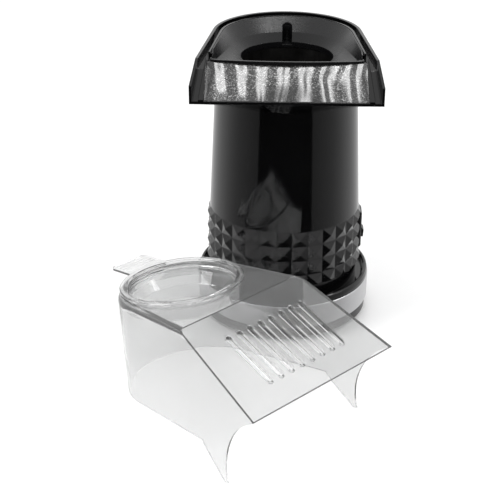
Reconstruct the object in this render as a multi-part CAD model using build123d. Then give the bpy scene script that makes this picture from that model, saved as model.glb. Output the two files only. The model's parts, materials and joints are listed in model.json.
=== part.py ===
from build123d import *
import math
import os

os.makedirs("parts", exist_ok=True)

# Hot-air popcorn popper with its clear chute cover and measuring cup.
# Millimetres, +Z up, the chute opens towards -Y. The origin is on the axis of the
# popping chamber, on the surface that the feet stand on.

# ---- driving dimensions: base ----
FLOOR_GAP = 1.5            # the feet hold the base this far up
BASE_R = 87.5              # lower ring of the base
BAND_Z = 15.5              # bottom of the silver band
BAND_TOP = 40.0
BAND_R = 89.5
RIM_TOP = 47.5             # rim of the drip dish round the body
DISH_FLOOR = 40.5
WALL = 2.5                 # general moulded wall
FOOT_CIRCLE_R = 66.0
FOOT_R = 8.0
FEET = 4

# ---- driving dimensions: body ----
BODY_TOP = 256.0
BODY_TOP_R = 70.4
FACET_TOP = 117.0
FACET_BOTTOM = 58.0
FACET_TOP_R = 77.1
FACET_PITCH = 15.9         # height of one row of pyramids
FACET_ROWS = 4
FACETS_AROUND = 30
FACET_HEIGHT = 2.6         # how far a pyramid's tip stands out
BODY_INNER_R = 74.2        # inside of the faceted part

# ---- driving dimensions: collar and chute ----
COLLAR_Y = 12.0            # centre of the collar's back arc
TAPER = 6.7                # degrees that each side opens towards the front
COLLAR_R = 73.6
GROOVE_OUT_R = 70.6        # the cover stands in the groove between these two
GROOVE_IN_R = 67.2
GROOVE_OUT_TAPER = 7.0     # the groove widens towards the front
GROOVE_IN_TAPER = 5.9
FUNNEL_R = 64.8
COLLAR_TOP = 294.0
INNER_RIM_TOP = 292.0
GROOVE_FLOOR = 284.0
COLLAR_BOTTOM = 261.3
FLARE_BOTTOM = 240.0
RIM_FRONT_Y = -76.0        # the rim starts to fall away here
LIP_Y = -109.6
LIP_Z = 264.0
CHUTE_HALF = 75.0
CREST_Y = -57.5            # the chute starts here, in front of the opening
CREST_Z = 283.6
CREST_TOP = 286.0          # bowed bar between the bowl and the chute
CREST_THICK = 2.5
CREST_BOW = 6.5
BOWL_FRONT_Y = -51.0
OPENING_R = 45.3
OPENING_Z = 273.6
FUNNEL_RING_R = 55.0
FUNNEL_RING_Z = 281.0

# ---- driving dimensions: inside ----
CHAMBER_R = 46.2
CHAMBER_FLOOR_R = 41.0
FLANGE_TOP = 267.8         # flange of the chamber, under the funnel
FLANGE_SCREW_R = 52.0
CHAMBER_FLOOR = 176.0
SHEET = 1.0                # sheet metal inside
JACKET_R = 58.0
JACKET_BOTTOM = 112.0
LOUVRES = 18
FAN_R = 50.0
FAN_Z = 98.0
FAN_BLADES = 12
SHAFT_R = 1.6
SHAFT_CLEARANCE = 0.05
MOTOR_R = 19.0
MOTOR_BOTTOM = 46.0
MOTOR_TOP = 86.0
COIL_TURNS = 6

# ---- driving dimensions: switch ----
SWITCH_Z = 90.0
SWITCH_TALL = 39.0
SWITCH_WIDE = 20.0
SWITCH_FACE_X = 80.6
BEZEL_BACK_X = 75.8
ROCKER_TALL = 20.0
ROCKER_WIDE = 11.0
ROCKER_PIN_R = 1.5

# ---- driving dimensions: cover and cup ----
COVER_R = 69.4             # outside of the cover's back arc
COVER_WALL = 2.0
COVER_TAPER = 6.2          # degrees, between the tapers of the groove
COVER_SKIRT = 94.2         # length of the level bottom edge in front of the arc's centre
SPIKE_REACH = 124.6        # the pointed feet at the front: how far forward and how low
SPIKE_DROP = 30.2
FRONT_REACH = 170.5        # front edge of the sloping panel
FRONT_HEIGHT = 43.7
PANEL_REACH = 77.0         # a second point of the sloping panel
PANEL_HEIGHT = 94.1
COVER_TOP = 96.4           # the level top round the cup
COVER_DRAFT = 2.0          # degrees
COVER_ROUND = 7.0          # rounding of the top edge round the back
SEAT_R = 56.0              # ring under the top that holds the cup
SEAT_BOTTOM = 81.5
CUP_Y = 7.2                # centre of the ring, behind the arc's centre
CUP_OUT_R = 58.0
CUP_IN_R = 51.0
CUP_RIM = 99.4
CUP_DEPTH = 24.0
CUP_FLOOR_R = 44.0
CUP_GRIP = 28.0            # how far the grip reaches past the rim
VENTS = 8
VENT_WIDE = 5.4
VENT_FROM = 97.4
VENT_TO = 148.2
VENT_SPREAD = 87.9
VENT_OFFSET = 2.8
VENT_LIP = 1.0             # raised edge round each slot
# where the cover lies beside the popper, on its pointed feet and its back edge
COVER_X = -77.9
COVER_Y = -174.7
COVER_TURN = 45.6
COVER_TILT = math.degrees(math.atan2(SPIKE_DROP, SPIKE_REACH + COVER_R))


# ---- small helpers ----

def turned(points):
    """Solid turned about Z from (radius, height) points."""
    outline = Polyline(*[(radius, 0, height) for radius, height in points], close=True)
    return revolve(make_face(outline.edges()), axis=Axis.Z)


def post(radius, bottom, top, x=0.0, y=0.0):
    """Upright cylinder."""
    upright = Cylinder(radius, top - bottom, align=(Align.CENTER, Align.CENTER, Align.MIN))
    return Pos(x, y, bottom) * upright


def tube(outer, inner, bottom, top, x=0.0, y=0.0):
    """Upright tube."""
    return post(outer, bottom, top, x, y) - post(inner, bottom - 1, top + 1, x, y)


def block(x_range, y_range, z_range):
    """Box between two corners."""
    size = [high - low for low, high in (x_range, y_range, z_range)]
    middle = [(high + low) / 2 for low, high in (x_range, y_range, z_range)]
    return Pos(*middle) * Box(*size)


def ring_places(count, radius, start=0.0):
    """Evenly spaced (x, y, angle) places on a circle."""
    angles = [start + 360.0 * number / count for number in range(count)]
    return [(radius * math.cos(math.radians(a)), radius * math.sin(math.radians(a)), a) for a in angles]


def side_wedge(points, half_width=130.0):
    """Solid of constant (y, z) section across the whole width."""
    outline = Polyline(*[(-half_width, y, z) for y, z in points], close=True)
    return extrude(make_face(outline.edges()), amount=2 * half_width, dir=(1, 0, 0))


def half_width_at(radius, y, centre_y=COLLAR_Y, taper=TAPER):
    """Half width of a U outline at a given y in front of its arc."""
    lean = math.radians(taper)
    return radius / math.cos(lean) + (centre_y - y) * math.tan(lean)


def u_outline(radius, front_y, height, centre_y=COLLAR_Y, taper=TAPER, bow=0.0):
    """Closed U seen from above: back arc, two straight sides, straight or bowed front."""
    lean = math.radians(taper)
    touch_x = radius * math.cos(lean)
    touch_y = centre_y + radius * math.sin(lean)
    half = half_width_at(radius, front_y, centre_y, taper)
    right = (half, front_y, height)
    left = (-half, front_y, height)
    arc = ThreePointArc((touch_x, touch_y, height), (0, centre_y + radius, height), (-touch_x, touch_y, height))
    left_side = Line((-touch_x, touch_y, height), left)
    front = ThreePointArc(left, (0, front_y - bow, height), right) if bow else Line(left, right)
    right_side = Line(right, (touch_x, touch_y, height))
    return Face(Wire([arc.edge(), left_side.edge(), front.edge(), right_side.edge()]))


def u_block(radius, front_y, bottom, top, taper=TAPER, bow=0.0):
    """Upright block on a U outline."""
    return extrude(u_outline(radius, front_y, bottom, taper=taper, bow=bow), amount=top - bottom, dir=(0, 0, 1))


def four_arc_circle(radius, height, taper=TAPER, front_angle=-45.0):
    """Circle in four arcs, to be lofted to a U outline."""
    def at(angle):
        turn = math.radians(angle)
        return (radius * math.cos(turn), radius * math.sin(turn), height)
    corners = [taper, 180 - taper, 180 - front_angle, 360 + front_angle, 360 + taper]
    arcs = [ThreePointArc(at(a), at((a + b) / 2), at(b)).edge() for a, b in zip(corners, corners[1:])]
    return Face(Wire(arcs))


def plane_z(y, start, end):
    """Height at y on the straight line between two (y, z) points."""
    share = (y - start[0]) / (end[0] - start[0])
    return start[1] + share * (end[1] - start[1])


# ---- base ----

def base_bottom():
    inner_r = BASE_R - 3.0
    floor_top = FLOOR_GAP + WALL
    tray = turned([(0, FLOOR_GAP), (inner_r, FLOOR_GAP), (BASE_R, FLOOR_GAP + 3), (BASE_R, BAND_Z),
                   (inner_r, BAND_Z), (inner_r, floor_top), (0, floor_top)])
    for x, y, angle in ring_places(24, 30.0):
        tray -= Pos(x, y, FLOOR_GAP) * Rot(0, 0, angle) * Box(22, 3.2, 12)
    for x, y, angle in ring_places(FEET, FOOT_CIRCLE_R, 45.0):
        tray -= post(FOOT_R + 0.2, 0, FLOOR_GAP + 1.2, x, y)
    for x, y, angle in ring_places(FEET, FOOT_CIRCLE_R):
        tray += tube(5.0, 1.7, FLOOR_GAP, BAND_Z - 0.5, x, y)
        tray -= post(1.7, 0, BAND_Z + 1, x, y)
        tray -= post(3.4, 0, FLOOR_GAP + 1.4, x, y)
    tray -= Pos(0, BASE_R - 2, 9.5) * Rot(90, 0, 0) * Cylinder(3.8, 12)
    return tray


def rubber_feet():
    feet = [post(FOOT_R, 0, FLOOR_GAP + 1.2, x, y) for x, y, angle in ring_places(FEET, FOOT_CIRCLE_R, 45.0)]
    return Compound(children=feet)


def base_screws():
    screws = []
    for x, y, angle in ring_places(FEET, FOOT_CIRCLE_R):
        head = post(3.2, FLOOR_GAP + 0.2, FLOOR_GAP + 1.4, x, y)
        shank = post(1.5, FLOOR_GAP + 1.4, 30, x, y)
        cross = Pos(x, y, FLOOR_GAP) * Box(3.6, 0.8, 1.2) + Pos(x, y, FLOOR_GAP) * Box(0.8, 3.6, 1.2)
        screws.append(head + shank - cross)
    return Compound(children=screws)


def base_dish():
    skirt_in = BASE_R - WALL
    shell = turned([(BASE_R, BAND_Z), (BASE_R, BAND_TOP), (BAND_R - 0.4, BAND_TOP),
                    (BAND_R - 0.4, BAND_TOP + 3.0), (BAND_R - 1.4, RIM_TOP - 1.0), (BAND_R - 2.6, RIM_TOP),
                    (BAND_R - 4.0, RIM_TOP - 0.3), (BAND_R - 5.0, RIM_TOP - 2.0), (83.2, DISH_FLOOR + 0.8),
                    (82.2, DISH_FLOOR), (68.0, DISH_FLOOR), (68.0, DISH_FLOOR - WALL),
                    (skirt_in, DISH_FLOOR - WALL), (skirt_in, BAND_Z)])
    for x, y, angle in ring_places(FEET, FOOT_CIRCLE_R):
        column = tube(5.0, 1.55, BAND_Z - 0.5, DISH_FLOOR - 4, x, y)
        reach = Pos(x, y, 0) * Rot(0, 0, angle) * block((0, 6), (-3, 3), (DISH_FLOOR - 8, DISH_FLOOR - 1))
        shell += column + post(5.0, DISH_FLOOR - 4, DISH_FLOOR - 1, x, y) + reach
    return shell


def silver_band():
    edge = 0.5
    return turned([(BASE_R + 0.1, BAND_Z), (BAND_R - edge, BAND_Z), (BAND_R, BAND_Z + edge),
                   (BAND_R, BAND_TOP - edge), (BAND_R - edge, BAND_TOP), (BASE_R + 0.1, BAND_TOP)])


def cord_gland():
    bush = Cylinder(3.7, 7.0) + Pos(0, 0, 2.3) * Cylinder(5.5, 2.0)
    bush -= Cylinder(2.6, 20)
    return Pos(0, BASE_R + 0.2, 9.5) * Rot(-90, 0, 0) * bush


# ---- body ----

def facet_ring():
    """Ring of four-sided pyramids on a square grid, as one closed many-sided solid."""
    def corner(number, row, out=0.0):
        angle = math.radians(360.0 * number / FACETS_AROUND - 90.0)
        height = FACET_TOP - FACET_PITCH * row
        radius = FACET_TOP_R + 0.015 * (FACET_TOP - height) + out
        return Vector(radius * math.cos(angle), radius * math.sin(angle), height)

    def triangle(a, b, c):
        return Face(Wire.make_polygon([a, b, c], close=True))

    faces = []
    for row in range(FACET_ROWS):
        for number in range(FACETS_AROUND):
            left = number - 0.5
            right = number + 0.5
            square = [corner(left, row), corner(right, row), corner(right, row + 1), corner(left, row + 1)]
            tip = corner(number, row + 0.5, FACET_HEIGHT)
            for here, there in zip(square, square[1:] + square[:1]):
                faces.append(triangle(here, there, tip))
    top = [corner(number - 0.5, 0) for number in range(FACETS_AROUND)]
    bottom = [corner(number - 0.5, FACET_ROWS) for number in range(FACETS_AROUND)]
    faces.append(Face(Wire.make_polygon(top, close=True)))
    faces.append(Face(Wire.make_polygon(bottom, close=True)))
    return Solid(Shell(faces))


def body_shell():
    upper = turned([(FACET_TOP_R, FACET_TOP), (BODY_TOP_R, BODY_TOP), (BODY_TOP_R - WALL, BODY_TOP),
                    (BODY_INNER_R, FACET_TOP)])
    facets = facet_ring() - post(BODY_INNER_R, 0, 200) - post(100, 0, FACET_BOTTOM)
    lower = turned([(76.4, DISH_FLOOR), (77.2, FACET_BOTTOM), (BODY_INNER_R, FACET_BOTTOM),
                    (73.8, DISH_FLOOR)])
    shell = upper + facets + lower
    half_wide = SWITCH_WIDE / 2 + 0.1
    half_tall = SWITCH_TALL / 2 + 0.1
    shell -= block((BEZEL_BACK_X - 0.1, 90), (-half_wide, half_wide), (SWITCH_Z - half_tall, SWITCH_Z + half_tall))
    shell -= block((60, 90), (-half_wide + 1.4, half_wide - 1.4), (SWITCH_Z - half_tall + 3, SWITCH_Z + half_tall - 3))
    return shell


# ---- switch ----

def switch_bezel():
    half_wide = SWITCH_WIDE / 2
    half_tall = SWITCH_TALL / 2
    plate = block((BEZEL_BACK_X, SWITCH_FACE_X), (-half_wide, half_wide), (SWITCH_Z - half_tall, SWITCH_Z + half_tall))
    plate = chamfer(plate.edges().group_by(Axis.X)[-1], 1.2)
    box_wide = ROCKER_WIDE / 2 + 2
    box_tall = ROCKER_TALL / 2 + 3.5
    housing = block((62, BEZEL_BACK_X), (-box_wide, box_wide), (SWITCH_Z - box_tall, SWITCH_Z + box_tall))
    well_wide = ROCKER_WIDE / 2 + 0.4
    well_tall = ROCKER_TALL / 2 + 2.2
    well = block((66, 90), (-well_wide, well_wide), (SWITCH_Z - well_tall, SWITCH_Z + well_tall))
    bezel = plate + housing - well
    pin_hole = Pos(75, 0, SWITCH_Z) * Rot(90, 0, 0) * Cylinder(ROCKER_PIN_R, 40)
    return bezel - pin_hole


def rocker_pin():
    return Pos(75, 0, SWITCH_Z) * Rot(90, 0, 0) * Cylinder(ROCKER_PIN_R, ROCKER_WIDE + 4)


def switch_terminals():
    tabs = []
    for height in (-8.0, 0.0, 8.0):
        tabs.append(block((57, 62), (-3, 3), (SWITCH_Z + height - 0.5, SWITCH_Z + height + 0.5)))
    return Compound(children=tabs)


def switch_rocker():
    half = ROCKER_TALL / 2
    points = [(70.5, -4), (70.5, 4), (78.0, half), (79.6, half), (81.0, 0.5), (83.4, -2.5), (82.8, -half), (78.5, -half)]
    outline = Polyline(*[(x, ROCKER_WIDE / 2, SWITCH_Z + z) for x, z in points], close=True)
    cap = extrude(make_face(outline.edges()), amount=ROCKER_WIDE, dir=(0, -1, 0))
    hole = Pos(75, 0, SWITCH_Z) * Rot(90, 0, 0) * Cylinder(ROCKER_PIN_R + SHAFT_CLEARANCE, 40)
    return cap - hole


# ---- collar, funnel and chute ----

COLUMN_TOP = [(RIM_FRONT_Y, COLLAR_TOP), (LIP_Y - 1, 278.0)]
GROOVE_SLOPE = [(RIM_FRONT_Y - 1, GROOVE_FLOOR), (LIP_Y, LIP_Z)]
RIDGE_SLOPE = [(-64.0, INNER_RIM_TOP), (LIP_Y, LIP_Z + 1.5)]
LIP_BAR = 3.0
RAMP = [(CREST_Y, CREST_Z), (LIP_Y + LIP_BAR, LIP_Z)]
PLATE = 2.0


def above_line(points, back_y=100.0, top=330.0):
    """Everything above a (y, z) line that runs level behind its first point."""
    start, end = points
    beyond = (LIP_Y - 5, plane_z(LIP_Y - 5, start, end))
    return side_wedge([(back_y, start[1]), start, beyond, (beyond[0], top), (back_y, top)])


def above_ramp(lower_by=0.0):
    """Everything above the chute's slope, which goes on rising behind the crest."""
    start, end = RAMP
    back = (-20.0, plane_z(-20.0, start, end) - lower_by)
    front = (LIP_Y - 5, plane_z(LIP_Y - 5, start, end) - lower_by)
    return side_wedge([back, front, (front[0], 330.0), (back[0], 330.0)])


def collar_flare():
    """Skirt between the body and the collar."""
    outer = loft([four_arc_circle(72.8, FLARE_BOTTOM), u_outline(COLLAR_R, LIP_Y, COLLAR_BOTTOM)], ruled=True)
    inner = loft([four_arc_circle(71.4, FLARE_BOTTOM), u_outline(COLLAR_R - WALL, LIP_Y + WALL, COLLAR_BOTTOM)],
                 ruled=True)
    return outer - inner


def chute_collar():
    body = u_block(COLLAR_R, LIP_Y, COLLAR_BOTTOM, COLLAR_TOP)
    body -= above_line(COLUMN_TOP)
    ridge = u_block(GROOVE_IN_R, LIP_Y - 5, COLLAR_BOTTOM, COLLAR_TOP + 1, GROOVE_IN_TAPER)
    body -= ridge & above_line(RIDGE_SLOPE)
    groove = u_block(GROOVE_OUT_R, LIP_Y - 5, COLLAR_BOTTOM, COLLAR_TOP + 1, GROOVE_OUT_TAPER) - ridge
    body -= groove & above_line(GROOVE_SLOPE)
    body -= u_block(FUNNEL_R, -62.0, COLLAR_BOTTOM - 1, COLLAR_TOP + 1)
    front = block((-CHUTE_HALF, CHUTE_HALF), (LIP_Y + LIP_BAR, -50), (COLLAR_BOTTOM - 1, COLLAR_TOP + 1))
    shelf = block((-CHUTE_HALF, CHUTE_HALF), (LIP_Y + LIP_BAR, -62), (COLLAR_BOTTOM, COLLAR_TOP)) - above_ramp(PLATE)
    shelf -= Pos(0, 0, -PLATE - WALL) * (block((-200, 200), (-120, -30), (200, 350)) - above_ramp(0))
    body -= front
    body -= block((-CHUTE_HALF, CHUTE_HALF), (LIP_Y - 5, LIP_Y + LIP_BAR), (LIP_Z, 330))
    body += shelf
    pocket = u_block(COLLAR_R - 2.4, -62.0, COLLAR_BOTTOM - 1, GROOVE_FLOOR - WALL)
    body -= pocket - u_block(GROOVE_IN_R - 0.2, -80.0, COLLAR_BOTTOM - 2, COLLAR_TOP, GROOVE_IN_TAPER)
    return body + collar_flare()


def bowl_cut():
    """Space of the bowl round the opening and of the funnel below it."""
    rim = u_outline(FUNNEL_R - 1.4, BOWL_FRONT_Y, INNER_RIM_TOP - 0.5, bow=CREST_BOW)
    ring = u_outline(FUNNEL_RING_R, BOWL_FRONT_Y, FUNNEL_RING_Z, centre_y=0.0, taper=15.0, bow=CREST_BOW)
    mouth = four_arc_circle(OPENING_R, OPENING_Z, taper=15.0)
    return loft([rim, ring], ruled=True) + loft([ring, mouth], ruled=True)


def behind_crest(back_of_front):
    """Everything behind the bowed line of the crest."""
    return u_block(COLLAR_R, BOWL_FRONT_Y - back_of_front, 240.0, 320.0, bow=CREST_BOW)


def keyhole(half_width, end_y, bottom, top):
    """Long hole with a round end, running back from the opening."""
    middle_y = end_y - half_width
    return block((-half_width, half_width), (30, middle_y), (bottom, top)) + post(half_width, bottom, top, 0, middle_y)


def funnel_bowl():
    space = bowl_cut()
    rim_top = INNER_RIM_TOP - 0.5
    blank = u_block(FUNNEL_R - 0.1, -59.7, OPENING_Z - 6, rim_top)
    skin = Pos(0, 0, -3.0) * space + u_block(FUNNEL_R - 0.1, -59.7, rim_top - 3, rim_top)
    crest = block((-73, 73), (-59.7, -50), (FUNNEL_RING_Z - 3, rim_top))
    neck = post(OPENING_R + 2.7, FLANGE_TOP, OPENING_Z)
    for x, y, angle in ring_places(3, FLANGE_SCREW_R, 30.0):
        neck += post(3.2, FLANGE_TOP, 277.0, x, y)
    neck -= flange_holes()
    bowl = ((skin + crest) & blank) + neck - space - post(OPENING_R, 200, 300)
    bowl -= above_ramp(0) + (above_ramp(PLATE) - behind_crest(CREST_THICK))
    bar = (behind_crest(CREST_THICK) - behind_crest(0)) & block((-72, 72), (-62, -50), (CREST_Z - 4, CREST_TOP))
    slot = keyhole(5.0, 67.4, 270.5, 320)
    pocket = keyhole(6.5, 68.9, 268.5, 284) - block((-10, 10), (0, 44), (200, 300))
    return bowl + bar + (pocket - space) - slot - post(OPENING_R, 200, 300)


def chute_plate():
    """Speckled trim that the popcorn slides over."""
    slab = block((-CHUTE_HALF + 0.2, CHUTE_HALF - 0.2), (LIP_Y + LIP_BAR, -50), (200, 330))
    slab -= behind_crest(CREST_THICK + 0.1)
    start, end = RAMP
    under = (LIP_Y - 5, plane_z(LIP_Y - 5, start, end) - PLATE)
    over = (LIP_Y - 5, plane_z(LIP_Y - 5, start, end))
    back_under = (-40.0, plane_z(-40.0, start, end) - PLATE)
    back_over = (-40.0, plane_z(-40.0, start, end))
    return slab & side_wedge([under, over, back_over, back_under])


def collar_screws():
    """Screws that hang the chamber and its jacket from the funnel."""
    flange_bottom = FLANGE_TOP - 2 * SHEET
    screws = []
    for x, y, angle in ring_places(3, FLANGE_SCREW_R, 30.0):
        head = post(2.8, flange_bottom - 1.8, flange_bottom, x, y)
        screws.append(head + post(1.3, flange_bottom, FLANGE_TOP + 5, x, y))
    return Compound(children=screws)


# ---- popping chamber and heater ----

def chamber():
    """Aluminium pot with a flange at the top and slanted air louvres near its floor."""
    pot = turned([(CHAMBER_FLOOR_R, CHAMBER_FLOOR), (CHAMBER_R, FLANGE_TOP), (55.6, FLANGE_TOP),
                  (55.6, FLANGE_TOP - SHEET), (CHAMBER_R + SHEET, FLANGE_TOP - SHEET),
                  (CHAMBER_FLOOR_R + SHEET, CHAMBER_FLOOR)])
    for x, y, angle in ring_places(LOUVRES, CHAMBER_FLOOR_R + 0.8):
        pot -= Pos(x, y, CHAMBER_FLOOR + 13) * Rot(0, 0, angle) * Rot(28, 0, 0) * Box(8, 3.0, 15)
    return pot - flange_holes()


def flange_holes():
    holes = [post(1.4, 255, FLANGE_TOP + 5.5, x, y) for x, y, angle in ring_places(3, FLANGE_SCREW_R, 30.0)]
    return holes[0] + holes[1] + holes[2]


def chamber_floor():
    return turned([(0, CHAMBER_FLOOR - SHEET), (CHAMBER_FLOOR_R + SHEET, CHAMBER_FLOOR - SHEET),
                   (CHAMBER_FLOOR_R + SHEET, CHAMBER_FLOOR), (14, CHAMBER_FLOOR), (6, CHAMBER_FLOOR + 3.5),
                   (0, CHAMBER_FLOOR + 4)])


def air_jacket():
    """Steel duct that takes the air past the heater and up round the chamber."""
    top = FLANGE_TOP - SHEET
    duct = turned([(JACKET_R, JACKET_BOTTOM), (JACKET_R, top - SHEET), (48.6, top - SHEET), (48.6, top),
                   (JACKET_R + SHEET, top), (JACKET_R + SHEET, JACKET_BOTTOM + SHEET),
                   (62.0, JACKET_BOTTOM + SHEET), (62.0, JACKET_BOTTOM)])
    return duct - flange_holes()


def fan_housing():
    """Moulded ring round the fan, on three legs that stand on the floor of the base."""
    ring = turned([(52.5, FAN_Z - 8), (52.5, JACKET_BOTTOM), (62.0, JACKET_BOTTOM), (62.0, JACKET_BOTTOM - WALL),
                   (55.0, JACKET_BOTTOM - WALL), (55.0, FAN_Z - 8)])
    ring += turned([(24.0, FAN_Z - 10.5), (24.0, FAN_Z - 8), (55.0, FAN_Z - 8), (55.0, FAN_Z - 10.5)])
    for x, y, angle in ring_places(3, 48.0, 90.0):
        ring += tube(5.0, 1.6, FLOOR_GAP + WALL, FAN_Z - 10.5, x, y)
    return ring - bracket_holes()


def mica_frame():
    """Two crossed mica boards that carry the heater coil."""
    tall = (134.0, 168.0)
    boards = block((-46, 46), (-0.6, 0.6), tall) + block((-0.6, 0.6), (-46, 46), tall)
    rails = tube(56.5, 54.5, 130.0, 134.0)
    spokes = block((-55, 55), (-1.5, 1.5), (131.5, 134.0)) + block((-1.5, 1.5), (-55, 55), (131.5, 134.0))
    return boards + rails + spokes


def heater_coil():
    turns = []
    for turn in range(COIL_TURNS):
        height = 137.5 + 5.2 * turn
        turns.append(Pos(0, 0, height) * Torus(47.6, 1.2))
    return Compound(children=turns)


def thermostat():
    disc = Cylinder(8.0, 5.0) + Pos(0, 0, 3.5) * Cylinder(6.0, 2.0)
    tabs = Pos(0, 4, 6.5) * Box(4, 0.8, 6) + Pos(0, -4, 6.5) * Box(4, 0.8, 6)
    return Pos(JACKET_R + SHEET + 2.4, 0, 150) * Rot(0, 90, 0) * (disc + tabs) - post(JACKET_R + SHEET, 100, 200)


def thermal_fuse():
    link = Cylinder(2.2, 12.0) + Cylinder(0.6, 30.0)
    return Pos(-JACKET_R - SHEET - 2.3, 0, 150) * link


# ---- motor ----

def motor_can():
    can = tube(MOTOR_R, MOTOR_R - 1.2, MOTOR_BOTTOM, MOTOR_TOP)
    top = tube(MOTOR_R, SHAFT_R + 2.0, MOTOR_TOP - 1.2, MOTOR_TOP)
    bush = tube(SHAFT_R + 2.6, SHAFT_R + SHAFT_CLEARANCE, MOTOR_TOP - 3, MOTOR_TOP + 1.0)
    return can + top + bush


def magnets():
    ring = tube(MOTOR_R - 1.25, 14.2, MOTOR_BOTTOM + 8, MOTOR_TOP - 8)
    ring -= block((-3, 3), (-30, 30), (0, 120))
    return Compound(children=[piece for piece in ring.solids()])


def motor_end_cap():
    cap = post(MOTOR_R, MOTOR_BOTTOM - 3, MOTOR_BOTTOM)
    cap += tube(SHAFT_R + 3, SHAFT_R, MOTOR_BOTTOM, MOTOR_BOTTOM + 2)
    return cap - post(SHAFT_R + SHAFT_CLEARANCE, MOTOR_BOTTOM - 1.5, MOTOR_BOTTOM + 4)


def brushes():
    pair = []
    for side in (-1, 1):
        near = 4.6 * side
        far = 11.0 * side
        pair.append(block((min(near, far), max(near, far)), (-1.6, 1.6), (MOTOR_BOTTOM + 2.5, MOTOR_BOTTOM + 6)))
    return Compound(children=pair)


def motor_bracket():
    """Steel plate that hangs the motor under the fan housing."""
    plate = tube(32.0, SHAFT_R + 3.0, MOTOR_TOP, MOTOR_TOP + 1.5) - tube(17.5, 12.0, 60, 100)
    plate -= tube(29.0, 21.0, 60, 100)
    for x, y, angle in ring_places(3, 20.0, 30.0):
        plate += Pos(x, y, MOTOR_TOP + 0.75) * Rot(0, 0, angle) * Box(24, 7, 1.5)
    for x, y, angle in ring_places(4, 14.7, 0.0):
        plate += Pos(x, y, MOTOR_TOP + 0.75) * Rot(0, 0, angle) * Box(9, 5, 1.5)
    plate &= post(31.9, MOTOR_TOP, MOTOR_TOP + 1.5)
    return plate - post(SHAFT_R + 3.0, 60, 100) - bracket_holes()


def bracket_holes():
    holes = [post(1.5, 60, 88.9, x, y) for x, y, angle in ring_places(3, 29.5, 30.0)]
    return holes[0] + holes[1] + holes[2]


def bracket_screws():
    screws = []
    for x, y, angle in ring_places(3, 29.5, 30.0):
        screws.append(post(2.4, MOTOR_TOP - 1.8, MOTOR_TOP, x, y) + post(1.4, MOTOR_TOP, 88.6, x, y))
    return Compound(children=screws)


def rectifier_board():
    board = post(15.0, MOTOR_BOTTOM - 8, MOTOR_BOTTOM - 6.4)
    for x, y, angle in ring_places(4, 9.0, 45.0):
        board += Pos(x, y, MOTOR_BOTTOM - 9.1) * Rot(0, 90, 0) * Cylinder(1.4, 5)
    for x, y, angle in ring_places(2, 12.5, 0.0):
        board += post(1.2, MOTOR_BOTTOM - 6.4, MOTOR_BOTTOM - 3, x, y)
    return board


def motor_shaft():
    return post(SHAFT_R, MOTOR_BOTTOM - 1.0, FAN_Z + 12)


def armature():
    core = tube(13.6, SHAFT_R, MOTOR_BOTTOM + 12, MOTOR_TOP - 10)
    for x, y, angle in ring_places(5, 12.0):
        core -= Pos(x, y, 0) * Rot(0, 0, angle) * block((-5, 3), (-1.2, 1.2), (0, 120))
    return core


def commutator():
    return tube(4.5, SHAFT_R, MOTOR_BOTTOM + 2.3, MOTOR_BOTTOM + 9)


def fan():
    """Centrifugal fan: a back plate with upright blades round a hub."""
    wheel = tube(FAN_R, 5.0, FAN_Z - 5, FAN_Z - 3.6) + tube(5.5, SHAFT_R, FAN_Z - 5, FAN_Z + 11)
    for x, y, angle in ring_places(FAN_BLADES, 34.0):
        wheel += Pos(x, y, FAN_Z + 1) * Rot(0, 0, angle + 32) * Box(28, 1.6, 11)
    return wheel & post(FAN_R, FAN_Z - 6, FAN_Z + 12)


# ---- clear cover and measuring cup, drawn as they sit on the collar ----

def cover_blank(inset):
    """Outer volume of the cover for inset 0, the space inside it for the wall thickness."""
    slope = (PANEL_HEIGHT - FRONT_HEIGHT) / (FRONT_REACH - PANEL_REACH)
    knee = PANEL_REACH - (COVER_TOP - PANEL_HEIGHT) / slope
    top = COVER_TOP - inset
    far = FRONT_REACH + 12
    outline = extrude(u_outline(COVER_R - inset, -far, -45.0, centre_y=0.0, taper=COVER_TAPER), amount=top + 45.0,
                      dir=(0, 0, 1), taper=COVER_DRAFT)
    knee += (inset - inset / math.cos(math.atan(slope))) / slope
    beyond = -far - 30
    cut = side_wedge([(-knee, top), (beyond, top + (beyond + knee) * slope), (beyond, 200), (-knee, 200)])
    blank = outline - cut
    if inset:
        return blank
    return fillet(blank.edges().group_by(Axis.Z)[-1].filter_by(GeomType.CIRCLE), COVER_ROUND)


def cover_side_trim():
    """Side view of what is kept: level skirt, pointed feet and a hollow front edge."""
    tip = (-SPIKE_REACH, -SPIKE_DROP)
    corner = (-FRONT_REACH, FRONT_HEIGHT + 0.1)
    skirt = (-COVER_SKIRT, 0.0)
    step = (-COVER_SKIRT + 1.5, 0.0)
    edges = [
        Line((0, 90, 0), (0, step[0], 0)),
        Line((0, step[0], 0), (0, skirt[0], -3.0)),
        Line((0, skirt[0], -3.0), (0, tip[0] + 2.4, tip[1])),
        Line((0, tip[0] + 2.4, tip[1]), (0, tip[0], tip[1])),
        ThreePointArc((0, tip[0], tip[1]), (0, -137.0, 18.0), (0, corner[0], corner[1])),
        Line((0, corner[0], corner[1]), (0, corner[0], 140)),
        Line((0, corner[0], 140), (0, 90, 140)),
        Line((0, 90, 140), (0, 90, 0)),
    ]
    face = Face(Wire([edge.edge() for edge in edges]))
    return Pos(-120, 0, 0) * extrude(face, amount=240, dir=(1, 0, 0))


def vents(extra=0.0):
    """Upright bars where the row of open slots runs down the sloping panel."""
    bars = []
    long = VENT_TO - VENT_FROM + 2 * extra
    for number in range(VENTS):
        x = VENT_OFFSET - VENT_SPREAD / 2 + VENT_SPREAD * number / (VENTS - 1)
        middle = -(VENT_FROM + VENT_TO) / 2
        slot = extrude(SlotOverall(long, VENT_WIDE + 2 * extra, rotation=90), amount=120)
        bars.append(Pos(x, middle, 20) * slot)
    return bars


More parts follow.
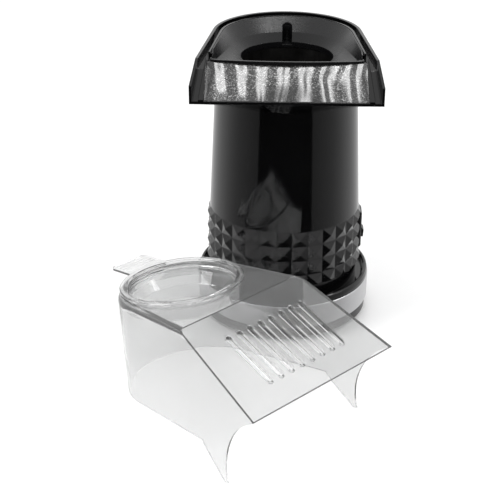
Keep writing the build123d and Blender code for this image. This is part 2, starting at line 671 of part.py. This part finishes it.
def cover():
    room = cover_blank(COVER_WALL)
    blank = cover_blank(0.0)
    shell = blank - room
    raised = Pos(0, 0, VENT_LIP) * blank - room
    for slot in vents(VENT_LIP):
        shell += slot & raised
    shell += tube(SEAT_R, SEAT_R - COVER_WALL, SEAT_BOTTOM, COVER_TOP, 0, CUP_Y) & blank
    shell -= post(SEAT_R - COVER_WALL, 40, 120, 0, CUP_Y)
    for slot in vents():
        shell -= slot
    return shell & cover_side_trim()


def measuring_cup():
    """Shallow cup with a stepped wall, a flat rim and a ribbed grip."""
    wall = 1.8
    rim_z = CUP_RIM
    step_r = SEAT_R - COVER_WALL - 0.6
    inner_r = CUP_IN_R - 1.4
    cup = turned([(0, rim_z - CUP_DEPTH), (CUP_FLOOR_R, rim_z - CUP_DEPTH), (step_r - 2.0, rim_z - 12),
                  (step_r - 2.0, rim_z - 8), (step_r, rim_z - 7), (step_r, COVER_TOP), (CUP_OUT_R, COVER_TOP),
                  (CUP_OUT_R, rim_z - 1.2), (CUP_OUT_R - 0.8, rim_z - 0.4), (CUP_IN_R + 3.4, rim_z - 0.4),
                  (CUP_IN_R + 2.6, rim_z), (CUP_IN_R + 0.6, rim_z), (CUP_IN_R, rim_z - 0.8),
                  (CUP_IN_R, rim_z - 8.6), (inner_r, rim_z - 9.4), (inner_r, rim_z - 12.5),
                  (CUP_FLOOR_R - 1.4, rim_z - CUP_DEPTH + wall), (0, rim_z - CUP_DEPTH + wall)])
    grip = block((-18, 24), (50, CUP_OUT_R + CUP_GRIP), (rim_z - 2.6, rim_z - 0.6))
    corners = grip.edges().filter_by(Axis.Z).group_by(Axis.Y)[-1]
    grip = fillet(corners, 6.0) - post(CUP_OUT_R - 2, 80, 110)
    for number in range(4):
        y = CUP_OUT_R + 6.0 + 5.2 * number
        grip += block((-14, 20), (y, y + 1.2), (rim_z - 0.7, rim_z + 0.1))
    return Pos(0, CUP_Y, 0) * (cup + grip)


def cover_place():
    """Turns and lays the cover from its own frame onto the surface beside the popper."""
    lift = Pos(0, COVER_R, 0) * Rot(-COVER_TILT, 0, 0) * Pos(0, -COVER_R, 0)
    return Pos(COVER_X, COVER_Y, 0) * Rot(0, 0, COVER_TURN) * lift


# ---- every piece by name ----

PIECES = {
    "base_bottom": base_bottom,
    "rubber_feet": rubber_feet,
    "base_screws": base_screws,
    "base_dish": base_dish,
    "silver_band": silver_band,
    "cord_gland": cord_gland,
    "body_shell": body_shell,
    "switch_bezel": switch_bezel,
    "switch_terminals": switch_terminals,
    "rocker_pin": rocker_pin,
    "switch_rocker": switch_rocker,
    "chute_collar": chute_collar,
    "funnel_bowl": funnel_bowl,
    "chute_plate": chute_plate,
    "collar_screws": collar_screws,
    "chamber": chamber,
    "chamber_floor": chamber_floor,
    "air_jacket": air_jacket,
    "fan_housing": fan_housing,
    "mica_frame": mica_frame,
    "heater_coil": heater_coil,
    "thermostat": thermostat,
    "thermal_fuse": thermal_fuse,
    "motor_can": motor_can,
    "motor_magnets": magnets,
    "motor_end_cap": motor_end_cap,
    "motor_brushes": brushes,
    "motor_bracket": motor_bracket,
    "bracket_screws": bracket_screws,
    "rectifier_board": rectifier_board,
    "motor_shaft": motor_shaft,
    "armature": armature,
    "commutator": commutator,
    "fan": fan,
}
LOOSE_PIECES = {"cover": cover, "measuring_cup": measuring_cup}

for name, make in PIECES.items():
    export_step(make(), f"parts/{name}.step")
for name, make in LOOSE_PIECES.items():
    export_step(cover_place() * make(), f"parts/{name}.step")
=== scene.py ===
import json
import math

import bpy
from mathutils import Matrix, Vector

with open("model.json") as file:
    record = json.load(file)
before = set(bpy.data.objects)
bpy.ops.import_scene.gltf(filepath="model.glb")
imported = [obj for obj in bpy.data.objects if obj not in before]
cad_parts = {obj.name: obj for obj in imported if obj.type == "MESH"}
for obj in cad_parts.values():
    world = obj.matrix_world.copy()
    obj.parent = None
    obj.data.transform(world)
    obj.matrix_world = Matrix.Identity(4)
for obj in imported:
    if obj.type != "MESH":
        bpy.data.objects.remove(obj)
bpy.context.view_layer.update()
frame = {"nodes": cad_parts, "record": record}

# Looks for a hot-air popcorn popper with its clear cover and measuring cup.
# Metres, in the frame's own axes: +Z up, the chute opens towards -Y.


# ---- camera: looks down at the front, a little from above ----

CAMERA_PLACE = (-0.0041, -1.1373, 0.6332)
CAMERA_YAW = -0.0276
CAMERA_PITCH = 0.4673
CAMERA_ROLL = 0.004
CAMERA_LENS = 86.4
SENSOR = 36.0


def camera_axes():
    """The camera's right, up and backward directions from its yaw, pitch and roll."""
    across, along = math.cos(CAMERA_YAW), math.sin(CAMERA_YAW)
    level, down = math.cos(CAMERA_PITCH), math.sin(CAMERA_PITCH)
    forward = Vector((along * level, across * level, -down))
    right = Vector((across, -along, 0.0))
    up = right.cross(forward)
    rolled_right = right * math.cos(CAMERA_ROLL) + up * math.sin(CAMERA_ROLL)
    rolled_up = up * math.cos(CAMERA_ROLL) - right * math.sin(CAMERA_ROLL)
    return rolled_right, rolled_up, -forward


def add_camera():
    data = bpy.data.cameras.new("camera")
    data.lens = CAMERA_LENS
    data.sensor_width = SENSOR
    data.clip_start = 0.02
    data.clip_end = 50.0
    camera = bpy.data.objects.new("camera", data)
    bpy.context.scene.collection.objects.link(camera)
    axes = Matrix(camera_axes()).transposed().to_4x4()
    camera.matrix_world = Matrix.Translation(CAMERA_PLACE) @ axes
    bpy.context.scene.camera = camera


# ---- node helpers ----

class Tree:
    """Short names for building a node tree."""

    def __init__(self, owner):
        owner.use_nodes = True
        self.nodes = owner.node_tree.nodes
        self.links = owner.node_tree.links
        self.nodes.clear()

    def add(self, kind, **settings):
        node = self.nodes.new(kind)
        for name, value in settings.items():
            setattr(node, name, value)
        return node

    def put(self, value, socket):
        """Links a socket, or sets a plain value."""
        if isinstance(value, bpy.types.NodeSocket):
            self.links.new(value, socket)
        else:
            socket.default_value = value

    def math(self, operation, first, second=0.0):
        node = self.add("ShaderNodeMath", operation=operation)
        self.put(first, node.inputs[0])
        self.put(second, node.inputs[1])
        return node.outputs[0]

    def ramp(self, factor, stops, interpolation="LINEAR"):
        """Grey or colour ramp from (place, colour) stops; a number stands for a grey."""
        node = self.add("ShaderNodeValToRGB")
        node.color_ramp.interpolation = interpolation
        while len(node.color_ramp.elements) < len(stops):
            node.color_ramp.elements.new(0.5)
        for element, (place, colour) in zip(node.color_ramp.elements, stops):
            element.position = place
            grey = isinstance(colour, (int, float))
            element.color = (colour, colour, colour, 1.0) if grey else (*colour, 1.0)
        self.put(factor, node.inputs[0])
        return node.outputs[0]

    def mix(self, factor, first, second, blend="MIX"):
        node = self.add("ShaderNodeMix", data_type="RGBA", blend_type=blend)
        self.put(factor, node.inputs["Factor"])
        colours = [socket for socket in node.inputs if socket.type == "RGBA"]
        for value, socket in zip((first, second), colours):
            self.put(value if isinstance(value, bpy.types.NodeSocket) else (*value, 1.0), socket)
        return [socket for socket in node.outputs if socket.type == "RGBA"][0]

    def spread(self, value, low, high, least=0.0):
        """Turns a value between least and 1 into one between low and high."""
        node = self.add("ShaderNodeMapRange")
        self.put(value, node.inputs["Value"])
        node.inputs["From Min"].default_value = least
        node.inputs["To Min"].default_value = low
        node.inputs["To Max"].default_value = high
        return node.outputs["Result"]

    def noise(self, scale, detail=2.0, roughness=0.5, stretch=None, distortion=0.0):
        """Noise over the piece's own coordinates, in metres; stretch scales each axis."""
        place = self.add("ShaderNodeTexCoord").outputs["Object"]
        if stretch:
            mapping = self.add("ShaderNodeMapping")
            mapping.inputs["Scale"].default_value = stretch
            self.put(place, mapping.inputs["Vector"])
            place = mapping.outputs[0]
        node = self.add("ShaderNodeTexNoise")
        self.put(place, node.inputs["Vector"])
        node.inputs["Scale"].default_value = scale
        node.inputs["Detail"].default_value = detail
        node.inputs["Roughness"].default_value = roughness
        node.inputs["Distortion"].default_value = distortion
        return node.outputs["Fac"]

    def bump(self, height, distance, normal=None):
        """Relief from a 0 to 1 height that stands for a distance in metres."""
        node = self.add("ShaderNodeBump")
        node.inputs["Strength"].default_value = 1.0
        node.inputs["Distance"].default_value = distance
        self.put(height, node.inputs["Height"])
        if normal is not None:
            self.put(normal, node.inputs["Normal"])
        return node.outputs["Normal"]

    def rounded_edges(self, radius):
        """Normal that catches light along sharp edges, as a moulded edge does."""
        node = self.add("ShaderNodeBevel", samples=6)
        node.inputs["Radius"].default_value = radius
        return node.outputs["Normal"]

    def principled(self, **inputs):
        node = self.add("ShaderNodeBsdfPrincipled")
        for name, value in inputs.items():
            self.put(value, node.inputs[name.replace("_", " ")])
        return node

    def output(self, shader):
        out = self.add("ShaderNodeOutputMaterial")
        self.links.new(shader, out.inputs["Surface"])


def material(name):
    made = bpy.data.materials.new(name)
    return made, Tree(made)


# ---- materials ----

MOULDED_EDGE = 0.0007        # radius that catches light along the edges of mouldings
PLATE_HALF_WIDTH = 0.0748    # the sparkling slope: half width, front edge and length
PLATE_LIP_Y = -0.1066
PLATE_LONG = 0.05
FLAKES_PER_METRE = 1100.0
FLAKE_LEAN = 0.28
RIDGE_RADIANS = 300.0        # turns of the slope's ripples, in radians per metre across
RIDGE_HEIGHT = 0.0006


def moulded_plastic(name, colour, roughness, grain=0.0, ripple=0.0, wear=0.1, ior=1.49):
    """Moulded plastic: cloudy colour, uneven gloss, fine grain and a slight moulding ripple."""
    made, tree = material(name)
    cloud = tree.noise(35.0, 4.0, 0.6)
    dark = tuple(c * (1 - wear) for c in colour)
    light = tuple(min(1.0, c * (1 + wear) + 0.002) for c in colour)
    base = tree.mix(cloud, dark, light)
    smear = tree.noise(90.0, 5.0, 0.65, (1.0, 1.0, 0.35))
    gloss = tree.spread(smear, roughness * 0.75, roughness * 1.35)
    normal = tree.rounded_edges(MOULDED_EDGE)
    if ripple:
        normal = tree.bump(tree.noise(28.0, 1.0), ripple, normal)
    if grain:
        normal = tree.bump(tree.noise(2200.0, 2.0), grain, normal)
    tree.output(tree.principled(Base_Color=base, Roughness=gloss, IOR=ior, Normal=normal).outputs[0])
    return made


def rubber(name):
    """Matt rubber with a dusty bloom."""
    made, tree = material(name)
    bloom = tree.noise(400.0, 6.0, 0.7)
    dusty = tree.ramp(bloom, [(0.45, 0.0), (0.75, 1.0)])
    base = tree.mix(dusty, (0.016, 0.016, 0.017), (0.05, 0.05, 0.048))
    shader = tree.principled(Base_Color=base, Roughness=tree.spread(bloom, 0.62, 0.85), IOR=1.5)
    tree.put(tree.bump(tree.noise(3000.0, 3.0), 0.00012), shader.inputs["Normal"])
    tree.output(shader.outputs[0])
    return made


def metal(name, colour, roughness, brush=(1.0, 1.0, 1.0), brush_scale=600.0, tarnish=0.15):
    """Bare metal with brush marks along one axis and cloudy tarnish."""
    made, tree = material(name)
    marks = tree.noise(brush_scale, 3.0, 0.6, brush)
    cloud = tree.noise(45.0, 5.0, 0.6)
    dull = tuple(c * (1 - 2 * tarnish) for c in colour)
    base = tree.mix(tree.ramp(cloud, [(0.35, 1.0), (0.7, 0.0)]), colour, dull)
    gloss = tree.spread(marks, roughness * 0.7, roughness * 1.4)
    shader = tree.principled(Base_Color=base, Roughness=gloss)
    shader.inputs["Metallic"].default_value = 1.0
    tree.put(tree.bump(marks, 0.00002), shader.inputs["Normal"])
    tree.output(shader.outputs[0])
    return made


def painted_shade_and_reflection(tree, axes):
    """Painted shade and reflection over the flakes: 1 over most of the slope, darker at the middle of the
    lip (a painted dark reflection) and in the back corners (painted shade).
    """
    side = tree.math("MULTIPLY", axes[0], 1.0 / PLATE_HALF_WIDTH)
    up = tree.math("DIVIDE", tree.math("SUBTRACT", axes[1], PLATE_LIP_Y), PLATE_LONG)
    across = tree.math("POWER", tree.math("MULTIPLY", side, 1.6), 2.0)
    along = tree.math("POWER", tree.math("MULTIPLY", up, 2.1), 2.0)
    # painted dark reflection: an arch that is darkest at the middle of the lip
    painted_dark_arch = tree.ramp(tree.math("ADD", across, along), [(0.3, 0.16), (1.0, 1.0)])
    # painted shade in the back corners of the slope
    outer = tree.math("POWER", tree.math("ABSOLUTE", side), 4.0)
    painted_dark_corners = tree.math("ADD", outer, tree.math("MULTIPLY", up, 0.45))
    return tree.math("MULTIPLY", painted_dark_arch, tree.ramp(painted_dark_corners, [(0.8, 1.0), (1.0, 0.2)]))


def flake_normal(tree, colour, waves):
    """Each flake leans its own way from the rippled surface."""
    tilt = tree.add("ShaderNodeVectorMath", operation="SUBTRACT")
    tree.put(colour, tilt.inputs[0])
    tilt.inputs[1].default_value = (0.5, 0.5, 0.5)
    small = tree.add("ShaderNodeVectorMath", operation="SCALE")
    tree.put(tilt.outputs[0], small.inputs[0])
    small.inputs["Scale"].default_value = FLAKE_LEAN
    lean = tree.add("ShaderNodeVectorMath", operation="ADD")
    tree.put(small.outputs[0], lean.inputs[0])
    tree.put(waves, lean.inputs[1])
    unit = tree.add("ShaderNodeVectorMath", operation="NORMALIZE")
    tree.put(lean.outputs[0], unit.inputs[0])
    return unit.outputs[0]


def speckled_plate(name):
    """Black plastic full of metal flakes under a clear coat that ripples."""
    made, tree = material(name)
    place = tree.add("ShaderNodeTexCoord").outputs["Object"]
    cells = tree.add("ShaderNodeTexVoronoi")
    tree.put(place, cells.inputs["Vector"])
    cells.inputs["Scale"].default_value = FLAKES_PER_METRE
    split = tree.add("ShaderNodeSeparateColor")
    tree.put(cells.outputs["Color"], split.inputs[0])
    axes = tree.add("ShaderNodeSeparateXYZ")
    tree.put(place, axes.inputs[0])
    bright = tree.ramp(split.outputs[0], [(0.0, 0.012), (0.5, 0.045), (0.8, 0.14), (1.0, 0.42)])
    shade = tree.ramp(tree.noise(18.0, 3.0, 0.55, (1.0, 1.4, 1.0)), [(0.35, 0.5), (0.6, 1.0)])
    clouded = tree.mix(1.0, bright, shade, "MULTIPLY")
    # the flake colour is multiplied by the painted shade and painted dark reflection
    base = tree.mix(1.0, clouded, painted_shade_and_reflection(tree, axes.outputs), "MULTIPLY")
    wander = tree.math("MULTIPLY", tree.noise(16.0, 1.0), 8.0)
    phase = tree.math("ADD", tree.math("MULTIPLY", axes.outputs[0], RIDGE_RADIANS), wander)
    waves = tree.bump(tree.math("SINE", phase), RIDGE_HEIGHT)
    normal = flake_normal(tree, cells.outputs["Color"], waves)
    shader = tree.principled(Base_Color=base, Metallic=0.85, Roughness=0.34, Normal=normal)
    shader.inputs["Coat Weight"].default_value = 1.0
    shader.inputs["Coat Roughness"].default_value = 0.12
    tree.put(waves, shader.inputs["Coat Normal"])
    tree.output(shader.outputs[0])
    return made


def clear_plastic(name):
    """Clear moulded plastic with a little haze; lamps shine through it."""
    made, tree = material(name)
    cloud = tree.noise(22.0, 3.0, 0.5)
    base = tree.mix(cloud, (0.76, 0.765, 0.765), (0.82, 0.82, 0.82))
    shader = tree.principled(Base_Color=base, IOR=1.49)
    haze = tree.spread(tree.noise(60.0, 5.0, 0.65), 0.01, 0.035)
    tree.put(haze, shader.inputs["Roughness"])
    shader.inputs["Transmission Weight"].default_value = 0.965
    tree.put(tree.bump(tree.noise(24.0, 1.0), 0.0004), shader.inputs["Normal"])
    through = tree.add("ShaderNodeBsdfTransparent")
    through.inputs["Color"].default_value = (0.97, 0.97, 0.97, 1.0)
    path = tree.add("ShaderNodeLightPath")
    mix = tree.add("ShaderNodeMixShader")
    tree.put(path.outputs["Is Shadow Ray"], mix.inputs["Fac"])
    tree.links.new(shader.outputs[0], mix.inputs[1])
    tree.links.new(through.outputs[0], mix.inputs[2])
    tree.output(mix.outputs[0])
    return made


def board(name, colour, fleck):
    """Pressed board with flecks, such as mica or phenolic sheet."""
    made, tree = material(name)
    flecks = tree.ramp(tree.noise(700.0, 5.0, 0.7), [(0.45, 0.0), (0.62, 1.0)])
    base = tree.mix(flecks, colour, fleck)
    shader = tree.principled(Base_Color=base, Roughness=tree.spread(flecks, 0.35, 0.6), IOR=1.5)
    tree.put(tree.bump(flecks, 0.00004), shader.inputs["Normal"])
    tree.output(shader.outputs[0])
    return made


def finishes():
    """One Blender material for each of the record's material slots."""
    makers = {
        "gloss_black": lambda name: moulded_plastic(name, (0.0012, 0.0012, 0.0014), 0.07, ripple=0.00012),
        "black_plastic": lambda name: moulded_plastic(name, (0.008, 0.008, 0.0085), 0.36, grain=0.00008),
        "satin_black": lambda name: moulded_plastic(name, (0.004, 0.004, 0.0045), 0.26, grain=0.00003,
                                                    ior=1.38),
        "speckled_black": speckled_plate,
        "silver_band": lambda name: metal(name, (0.6, 0.6, 0.61), 0.36, (0.05, 0.05, 1.0), 1500.0, 0.03),
        "clear_plastic": clear_plastic,
        "rubber": rubber,
        "screw_steel": lambda name: metal(name, (0.55, 0.55, 0.56), 0.3),
        "sheet_steel": lambda name: metal(name, (0.6, 0.6, 0.6), 0.32, (1.0, 1.0, 0.1)),
        # near-black colour here is painted shade for the dark inside of the chamber, not bare aluminium's
        # colour
        "chamber_aluminium": lambda name: metal(name, (0.035, 0.034, 0.033), 0.5, (1.0, 1.0, 0.08), 500.0,
                                                0.3),
        "brass_tabs": lambda name: metal(name, (0.7, 0.53, 0.26), 0.3),
        "heater_wire": lambda name: metal(name, (0.33, 0.3, 0.28), 0.5, tarnish=0.3),
        "mica": lambda name: board(name, (0.36, 0.31, 0.23), (0.62, 0.57, 0.46)),
        "magnet": lambda name: board(name, (0.03, 0.03, 0.032), (0.09, 0.09, 0.09)),
        "circuit_board": lambda name: board(name, (0.2, 0.13, 0.06), (0.33, 0.22, 0.11)),
        "fan_plastic": lambda name: moulded_plastic(name, (0.06, 0.06, 0.062), 0.45, grain=0.0001),
    }
    return {slot: make(slot) for slot, make in makers.items()}


def dress_nodes():
    made = finishes()
    for part in frame["record"]["subparts"]:
        piece = frame["nodes"][part["node"]]
        piece.data.materials.clear()
        piece.data.materials.append(made[part["material_slot"]])


# ---- floor and light ----

FLOOR_SIZE = 12.0
AIM = (0.0, -0.08, 0.1)      # what the soft boxes point at
# name, place, (width, height), power in watts
SOFTBOXES = [
    ("back_light", (0.15, 0.75, 1.7), (0.5, 0.18), 3.0),
    ("left_light", (-1.1, -0.5, 1.2), (0.5, 0.9), 7.0),
    ("right_light", (1.2, -0.2, 0.9), (0.3, 0.9), 4.0),
]
# brightness of the room's mirror image, from straight behind (0) to straight ahead (1)
BELOW_HORIZON = [(0.0, 1.0), (0.35, 0.85), (0.6, 0.5), (0.868, 0.27), (0.876, 0.012), (1.0, 0.01)]
ABOVE_HORIZON = [(0.0, 1.0), (1.0, 0.8)]


def add_floor():
    bpy.ops.mesh.primitive_plane_add(size=FLOOR_SIZE, location=(0.0, 0.0, 0.0))
    floor = bpy.context.object
    floor.name = "floor"
    floor.visible_glossy = False
    made, tree = material("floor_paint")
    grain = tree.noise(60.0, 4.0)
    base = tree.mix(grain, (0.95, 0.95, 0.95), (0.97, 0.97, 0.97))
    tree.output(tree.principled(Base_Color=base, Roughness=0.9, Specular_IOR_Level=0.1).outputs[0])
    floor.data.materials.append(made)


def add_world():
    """White studio; below the horizon the mirror image of the room is dark straight ahead."""
    world = bpy.data.worlds.new("studio")
    bpy.context.scene.world = world
    tree = Tree(world)
    place = tree.add("ShaderNodeTexCoord").outputs["Generated"]
    axes = tree.add("ShaderNodeSeparateXYZ")
    tree.put(place, axes.inputs[0])
    x, y, z = axes.outputs
    squares = tree.math("ADD", tree.math("MULTIPLY", x, x), tree.math("MULTIPLY", y, y))
    level = tree.math("SQRT", squares)
    ahead = tree.math("DIVIDE", tree.math("MULTIPLY", y, -1.0), tree.math("MAXIMUM", level, 0.001))
    share = tree.spread(ahead, 0.0, 1.0, -1.0)
    low = tree.ramp(share, BELOW_HORIZON)
    high = tree.ramp(share, ABOVE_HORIZON)
    height = tree.ramp(tree.math("ADD", tree.math("MULTIPLY", z, 0.5), 0.5), [(0.49, 0.0), (0.56, 1.0)])
    around = tree.mix(height, low, high)
    glossy = tree.add("ShaderNodeLightPath").outputs["Is Glossy Ray"]
    shown = tree.mix(glossy, (1.0, 1.0, 1.0), around)
    background = tree.add("ShaderNodeBackground")
    tree.put(shown, background.inputs["Color"])
    background.inputs["Strength"].default_value = 1.0
    out = tree.add("ShaderNodeOutputWorld")
    tree.links.new(background.outputs[0], out.inputs["Surface"])


def add_softbox(name, place, size, power):
    data = bpy.data.lights.new(name, "AREA")
    data.shape = "RECTANGLE"
    data.size, data.size_y = size
    data.energy = power
    lamp = bpy.data.objects.new(name, data)
    bpy.context.scene.collection.objects.link(lamp)
    lamp.location = place
    lamp.rotation_euler = (Vector(AIM) - Vector(place)).to_track_quat("-Z", "Y").to_euler()
    lamp.visible_camera = False


add_camera()
add_world()
add_floor()
dress_nodes()
for softbox in SOFTBOXES:
    add_softbox(*softbox)

view = bpy.context.scene.view_settings
view.view_transform = "Standard"
view.look = "None"
